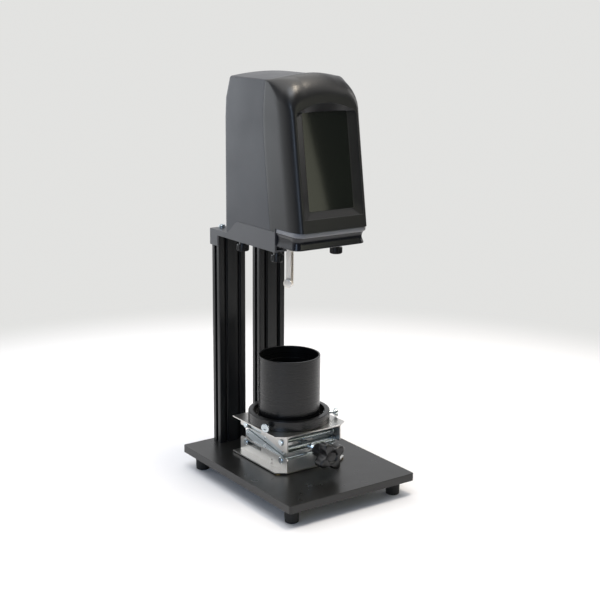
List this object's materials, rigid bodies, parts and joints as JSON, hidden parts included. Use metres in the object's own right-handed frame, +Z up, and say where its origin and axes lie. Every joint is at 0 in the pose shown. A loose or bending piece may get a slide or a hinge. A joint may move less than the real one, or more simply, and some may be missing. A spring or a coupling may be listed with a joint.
{
  "type": "rotational viscometer",
  "caption": "Bench rotational viscometer: screen head on a two-post stand, hanging spindle link, and a cup in a ring on a scissor lifting table.",
  "frame": {"origin": "on the table under the middle of the base plate", "axes": "+Z up, the screen faces -Y, +X to the right of someone who faces the screen"},
  "size_m": [0.189, 0.249, 0.5221],
  "materials": {
    "black_paint": "semi-gloss",
    "black_anodised": "satin",
    "foot_rubber": "matt",
    "zinc_steel": "satin",
    "spring_steel": "satin",
    "head_grey": "satin paint",
    "casting_black": "gloss paint",
    "cover_grey": "satin",
    "front_gloss": "gloss",
    "screen_glass": "gloss",
    "inner_metal": "satin",
    "motor_black": "matt",
    "board_green": "satin",
    "socket_black": "matt",
    "port_steel": "satin",
    "table_nickel": "polished",
    "table_brass": "polished",
    "knob_black": "satin",
    "sample_dark": "satin"
  },
  "bodies": {
    "stand": {"base_plate": "black_paint", "bearing_housing": "inner_metal", "bridge_screws": "zinc_steel", "bridge_standoffs": "inner_metal", "case_screws": "zinc_steel", "data_port": "port_steel", "display_panel": "motor_black", "drive_motor": "motor_black", "encoder_sensor": "motor_black", "foot_screws": "zinc_steel", "front_cover": "front_gloss", "head_base": "casting_black", "head_bracket": "head_grey", "jack_base": "table_nickel", "jack_base_rod": "table_nickel", "jack_feet": "table_brass", "left_post": "black_anodised", "main_board": "board_green", "motor_bridge": "inner_metal", "post_screws": "zinc_steel", "power_board": "board_green", "power_inlet": "socket_black", "power_switch_housing": "socket_black", "rear_cover": "cover_grey", "right_post": "black_anodised", "rubber_feet": "foot_rubber", "spindle_bearings": "zinc_steel", "touch_screen": "screen_glass"},
    "jack_arm_a": {"jack_arms_lower_front": "table_nickel", "jack_pins_lower": "table_nickel"},
    "jack_arm_b": {"jack_arms_lower_rear": "table_nickel", "jack_base_roller": "table_nickel"},
    "jack_arm_c": {"jack_arms_upper_rear": "table_nickel", "jack_pins_upper": "table_nickel"},
    "jack_arm_d": {"jack_arms_upper_front": "table_nickel", "jack_top_roller": "table_nickel"},
    "jack_bar_front": {"jack_front_bar": "table_nickel"},
    "jack_bar_rear": {"jack_rear_bar": "table_nickel"},
    "jack_drive": {"jack_screw": "table_nickel", "jack_knob": "knob_black"},
    "jack_table": {"jack_top": "table_nickel", "jack_top_rod": "table_nickel", "cup_ring": "black_anodised"},
    "ring_screw_l": {"ring_screw_left": "zinc_steel"},
    "ring_screw_r": {"ring_screw_right": "zinc_steel"},
    "ring_screw_b": {"ring_screw_rear": "zinc_steel"},
    "cup": {"outer_cup": "black_anodised"},
    "sample": {"sample_cup": "sample_dark"},
    "spindle": {"spindle_shaft": "zinc_steel", "spindle_link": "zinc_steel", "torsion_spring": "spring_steel", "drive_coupling": "inner_metal", "encoder_disc": "inner_metal"},
    "link_thumb_screw": {"link_screw": "zinc_steel"},
    "rocker": {"power_rocker": "socket_black"},
    "knob_front_left": {"clamp_knob_front_left": "knob_black"},
    "knob_front_right": {"clamp_knob_front_right": "knob_black"},
    "knob_rear_left": {"clamp_knob_rear_left": "knob_black"},
    "knob_rear_right": {"clamp_knob_rear_right": "knob_black"}
  },
  "joints": [
    {"name": "jack_lift", "type": "hinge", "parent": "stand", "child": "jack_arm_a", "pos_m": [0, -0.028, 0.0455], "axis": [1, 0, 0], "range_deg": [0, 41.5]},
    {"name": "jack_lower_cross", "type": "hinge", "parent": "jack_arm_a", "child": "jack_arm_b", "pos_m": [0, 0.012, 0.05137], "axis": [1, 0, 0], "range_deg": [-83, 0]},
    {"name": "jack_front_bar_level", "type": "hinge", "parent": "jack_arm_b", "child": "jack_bar_front", "pos_m": [0, -0.028, 0.05725], "axis": [1, 0, 0], "range_deg": [0, 41.5]},
    {"name": "jack_rear_bar_level", "type": "hinge", "parent": "jack_arm_a", "child": "jack_bar_rear", "pos_m": [0, 0.052, 0.05725], "axis": [1, 0, 0], "range_deg": [-41.5, 0]},
    {"name": "jack_upper_fold", "type": "hinge", "parent": "jack_arm_a", "child": "jack_arm_c", "pos_m": [0, 0.052, 0.05725], "axis": [1, 0, 0], "range_deg": [-83, 0]},
    {"name": "jack_upper_cross", "type": "hinge", "parent": "jack_arm_c", "child": "jack_arm_d", "pos_m": [0, 0.012, 0.06313], "axis": [1, 0, 0], "range_deg": [0, 83]},
    {"name": "jack_table_level", "type": "hinge", "parent": "jack_arm_c", "child": "jack_table", "pos_m": [0, -0.028, 0.069], "axis": [1, 0, 0], "range_deg": [0, 41.5]},
    {"name": "jack_knob_turn", "type": "hinge", "parent": "jack_bar_front", "child": "jack_drive", "pos_m": [0, -0.028, 0.05725], "axis": [0, 1, 0], "range_deg": [0, 5041.01]},
    {"name": "ring_screw_left_in", "type": "slide", "parent": "jack_table", "child": "ring_screw_l", "axis": [0.891, 0.454, 0], "range_m": [0, 0.0045]},
    {"name": "ring_screw_right_in", "type": "slide", "parent": "jack_table", "child": "ring_screw_r", "axis": [-0.891, 0.454, 0], "range_m": [0, 0.0045]},
    {"name": "ring_screw_rear_in", "type": "slide", "parent": "jack_table", "child": "ring_screw_b", "axis": [0, -1, 0], "range_m": [0, 0.0045]},
    {"name": "cup_lift", "type": "slide", "parent": "jack_table", "child": "cup", "axis": [0, 0, 1], "range_m": [0, 0.04]},
    {"name": "sample_cup_lift", "type": "slide", "parent": "cup", "child": "sample", "axis": [0, 0, 1], "range_m": [0, 0.015]},
    {"name": "spindle_spin", "type": "hinge", "parent": "stand", "child": "spindle", "pos_m": [0, 0.0152, 0.3235], "axis": [0, 0, 1], "continuous": true},
    {"name": "link_screw_turn", "type": "hinge", "parent": "spindle", "child": "link_thumb_screw", "pos_m": [0, 0.0152, 0.2597], "axis": [0.8829, 0.4695, 0], "range_deg": [-1080, 0]},
    {"name": "knob_front_left_turn", "type": "hinge", "parent": "stand", "child": "knob_front_left", "pos_m": [-0.044, -0.022, 0.312], "axis": [0, 0, 1], "range_deg": [-1080, 0]},
    {"name": "knob_front_right_turn", "type": "hinge", "parent": "stand", "child": "knob_front_right", "pos_m": [0.044, -0.022, 0.312], "axis": [0, 0, 1], "range_deg": [-1080, 0]},
    {"name": "knob_rear_left_turn", "type": "hinge", "parent": "stand", "child": "knob_rear_left", "pos_m": [-0.044, 0.055, 0.312], "axis": [0, 0, 1], "range_deg": [-1080, 0]},
    {"name": "knob_rear_right_turn", "type": "hinge", "parent": "stand", "child": "knob_rear_right", "pos_m": [0.044, 0.055, 0.312], "axis": [0, 0, 1], "range_deg": [-1080, 0]},
    {"name": "power_rocker_tip", "type": "hinge", "parent": "stand", "child": "rocker", "pos_m": [0.0065, 0.081, 0.3655], "axis": [1, 0, 0], "range_deg": [-16, 0]}
  ],
  "couplings": [
    {"joint": "jack_lift", "follows": "jack_table_level", "ratio": 1},
    {"joint": "jack_lower_cross", "follows": "jack_table_level", "ratio": -2},
    {"joint": "jack_front_bar_level", "follows": "jack_table_level", "ratio": 1},
    {"joint": "jack_rear_bar_level", "follows": "jack_table_level", "ratio": -1},
    {"joint": "jack_upper_fold", "follows": "jack_table_level", "ratio": -2},
    {"joint": "jack_upper_cross", "follows": "jack_table_level", "ratio": 2},
    {"joint": "jack_knob_turn", "follows": "jack_table_level", "ratio": 121.45}
  ]
}
